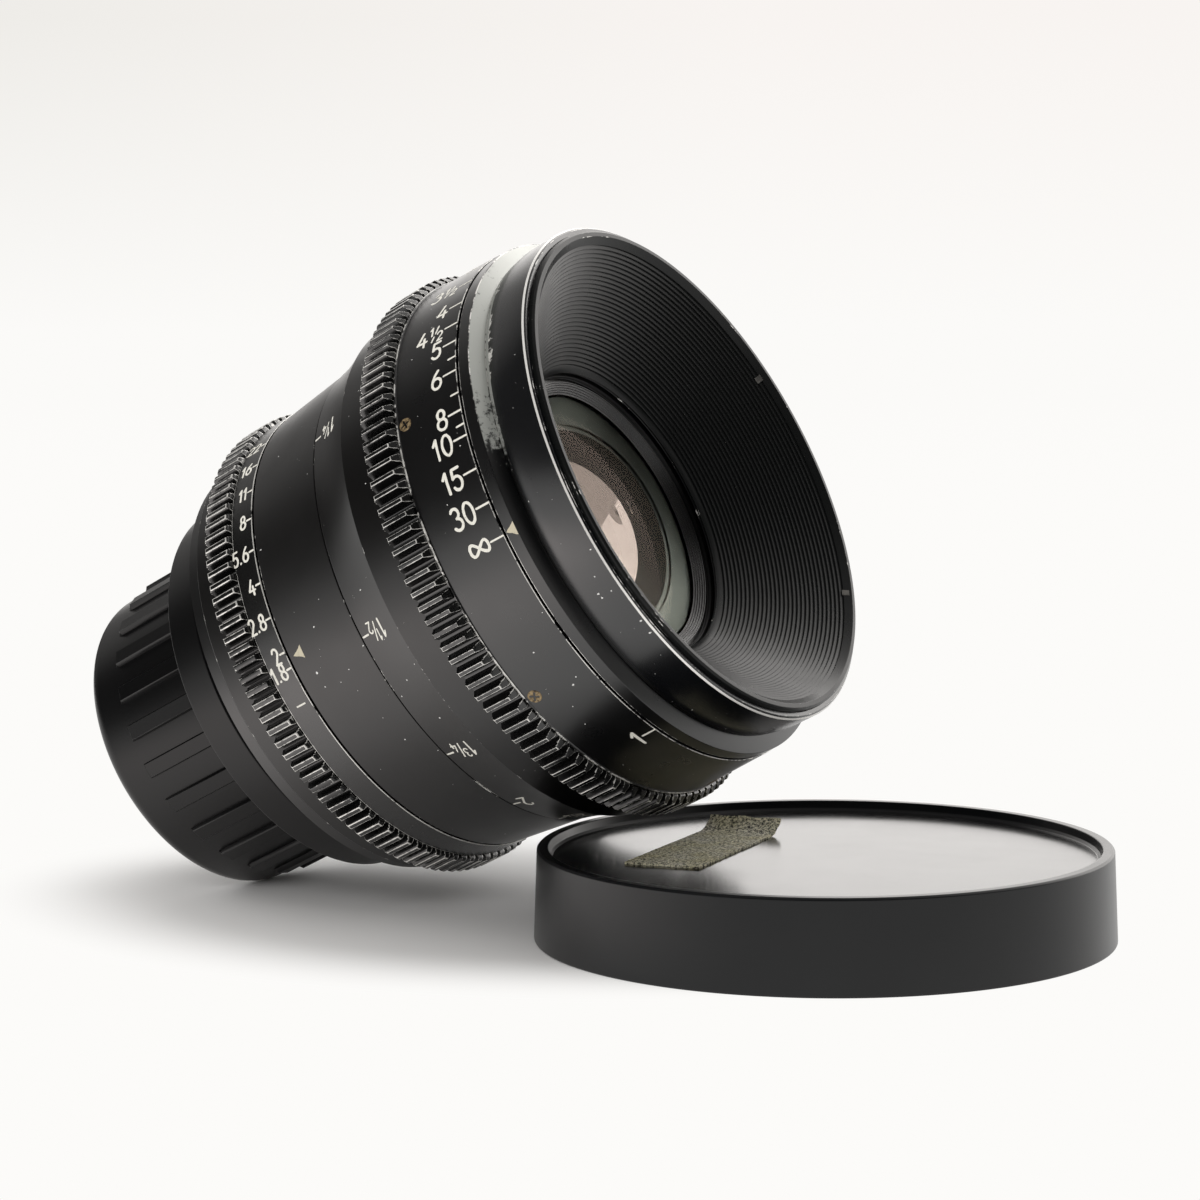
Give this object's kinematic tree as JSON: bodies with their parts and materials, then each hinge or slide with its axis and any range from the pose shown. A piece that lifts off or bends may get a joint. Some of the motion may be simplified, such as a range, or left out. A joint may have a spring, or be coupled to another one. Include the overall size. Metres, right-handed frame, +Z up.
{
  "type": "cinema prime lens",
  "caption": "Wide cinema prime lens with geared focus and iris rings, a blade iris and a ribbed hood, leaning on its own front cap with its rear cap on.",
  "frame": {"origin": "on the ground, in the middle of the lens and its front cap together", "axes": "+X towards the front of the lens along the ground, +Z up; the optical axis lies in the XZ plane and rises by 26.65 degrees towards +X; the scales face -Y"},
  "size_m": [0.195, 0.104, 0.1224],
  "materials": {
    "anodised_black": "satin black anodised, worn to metal at edges",
    "mount_steel": "machined stainless steel",
    "screw_steel": "plain steel",
    "worn_brass": "worn brass",
    "blade_steel": "matt black coated spring steel",
    "coated_glass": "coated optical glass",
    "cap_plastic": "satin black moulded plastic",
    "tape_cloth": "worn cloth tape"
  },
  "bodies": {
    "barrel": {"pl_mount": "mount_steel", "mount_screws": "screw_steel", "mount_shim": "worn_brass", "rear_housing": "anodised_black", "iris_base_plate": "anodised_black", "iris_lock_ring": "anodised_black", "main_barrel": "anodised_black", "index_ring": "anodised_black", "front_ring": "anodised_black", "front_hood": "anodised_black", "front_cell": "anodised_black", "front_nut": "anodised_black", "front_element": "coated_glass", "second_element": "coated_glass", "second_nut": "anodised_black", "rear_cell": "anodised_black", "fifth_element": "coated_glass", "sixth_element": "coated_glass", "seventh_element": "coated_glass", "rear_element": "coated_glass", "fifth_nut": "anodised_black", "seventh_nut": "anodised_black", "rear_nut": "anodised_black"},
    "focus_ring": {"focus_gear_ring": "anodised_black", "focus_scale_ring": "anodised_black", "focus_screws": "worn_brass", "focus_helicoid": "anodised_black"},
    "focus_group": {"focus_carrier": "anodised_black", "focus_keys": "screw_steel", "focus_cell": "anodised_black", "third_element": "coated_glass", "third_nut": "anodised_black", "fourth_element": "coated_glass", "fourth_nut": "anodised_black"},
    "iris_ring": {"iris_ring": "anodised_black", "iris_cam_ring": "anodised_black", "iris_drive_screw": "screw_steel"},
    "blade_1": {"iris_blade_1": "blade_steel"},
    "blade_2": {"iris_blade_2": "blade_steel"},
    "blade_3": {"iris_blade_3": "blade_steel"},
    "blade_4": {"iris_blade_4": "blade_steel"},
    "blade_5": {"iris_blade_5": "blade_steel"},
    "blade_6": {"iris_blade_6": "blade_steel"},
    "blade_7": {"iris_blade_7": "blade_steel"},
    "blade_8": {"iris_blade_8": "blade_steel"},
    "blade_9": {"iris_blade_9": "blade_steel"},
    "rear_cap": {"rear_cap": "cap_plastic"},
    "front_cap": {"front_cap": "cap_plastic", "cap_tape": "tape_cloth"}
  },
  "joints": [
    {"name": "focus_turn", "type": "hinge", "parent": "barrel", "child": "focus_ring", "pos_m": [-0.00597, 0, 0.06548], "axis": [0.8938, 0, 0.4485], "range_deg": [0, 320]},
    {"name": "focus_group_slide", "type": "slide", "parent": "barrel", "child": "focus_group", "axis": [0.8938, 0, 0.4485], "range_m": [0, 0.006]},
    {"name": "iris_turn", "type": "hinge", "parent": "barrel", "child": "iris_ring", "pos_m": [-0.03939, 0, 0.04871], "axis": [0.8938, 0, 0.4485], "range_deg": [0, 61]},
    {"name": "blade_1_pivot", "type": "hinge", "parent": "barrel", "child": "blade_1", "pos_m": [-0.05445, 0, 0.07136], "axis": [0.8938, 0, 0.4485], "range_deg": [-24.8, 0]},
    {"name": "blade_2_pivot", "type": "hinge", "parent": "barrel", "child": "blade_2", "pos_m": [-0.05131, -0.01735, 0.06587], "axis": [0.8938, 0, 0.4485], "range_deg": [-24.8, 0]},
    {"name": "blade_3_pivot", "type": "hinge", "parent": "barrel", "child": "blade_3", "pos_m": [-0.04382, -0.02659, 0.05173], "axis": [0.8938, 0, 0.4485], "range_deg": [-24.8, 0]},
    {"name": "blade_4_pivot", "type": "hinge", "parent": "barrel", "child": "blade_4", "pos_m": [-0.03535, -0.02338, 0.03563], "axis": [0.8938, 0, 0.4485], "range_deg": [-24.8, 0]},
    {"name": "blade_5_pivot", "type": "hinge", "parent": "barrel", "child": "blade_5", "pos_m": [-0.02971, -0.00924, 0.02518], "axis": [0.8938, 0, 0.4485], "range_deg": [-24.8, 0]},
    {"name": "blade_6_pivot", "type": "hinge", "parent": "barrel", "child": "blade_6", "pos_m": [-0.0294, 0.00924, 0.02533], "axis": [0.8938, 0, 0.4485], "range_deg": [-24.8, 0]},
    {"name": "blade_7_pivot", "type": "hinge", "parent": "barrel", "child": "blade_7", "pos_m": [-0.03441, 0.02338, 0.0361], "axis": [0.8938, 0, 0.4485], "range_deg": [-24.8, 0]},
    {"name": "blade_8_pivot", "type": "hinge", "parent": "barrel", "child": "blade_8", "pos_m": [-0.04226, 0.02659, 0.05251], "axis": [0.8938, 0, 0.4485], "range_deg": [-24.8, 0]},
    {"name": "blade_9_pivot", "type": "hinge", "parent": "barrel", "child": "blade_9", "pos_m": [-0.04912, 0.01735, 0.06697], "axis": [0.8938, 0, 0.4485], "range_deg": [-24.8, 0]},
    {"name": "rear_cap_off", "type": "slide", "parent": "barrel", "child": "rear_cap", "axis": [-0.8938, 0, -0.4485], "range_m": [0, 0.045]},
    {"name": "front_cap_away", "type": "slide", "parent": "barrel", "child": "front_cap", "axis": [1, 0, 0], "range_m": [0, 0.12]}
  ],
  "couplings": [
    {"joint": "focus_group_slide", "follows": "focus_turn", "m_per_rad": 0.0010743},
    {"joint": "blade_1_pivot", "follows": "iris_turn", "ratio": -0.40656},
    {"joint": "blade_2_pivot", "follows": "iris_turn", "ratio": -0.40656},
    {"joint": "blade_3_pivot", "follows": "iris_turn", "ratio": -0.40656},
    {"joint": "blade_4_pivot", "follows": "iris_turn", "ratio": -0.40656},
    {"joint": "blade_5_pivot", "follows": "iris_turn", "ratio": -0.40656},
    {"joint": "blade_6_pivot", "follows": "iris_turn", "ratio": -0.40656},
    {"joint": "blade_7_pivot", "follows": "iris_turn", "ratio": -0.40656},
    {"joint": "blade_8_pivot", "follows": "iris_turn", "ratio": -0.40656},
    {"joint": "blade_9_pivot", "follows": "iris_turn", "ratio": -0.40656}
  ]
}
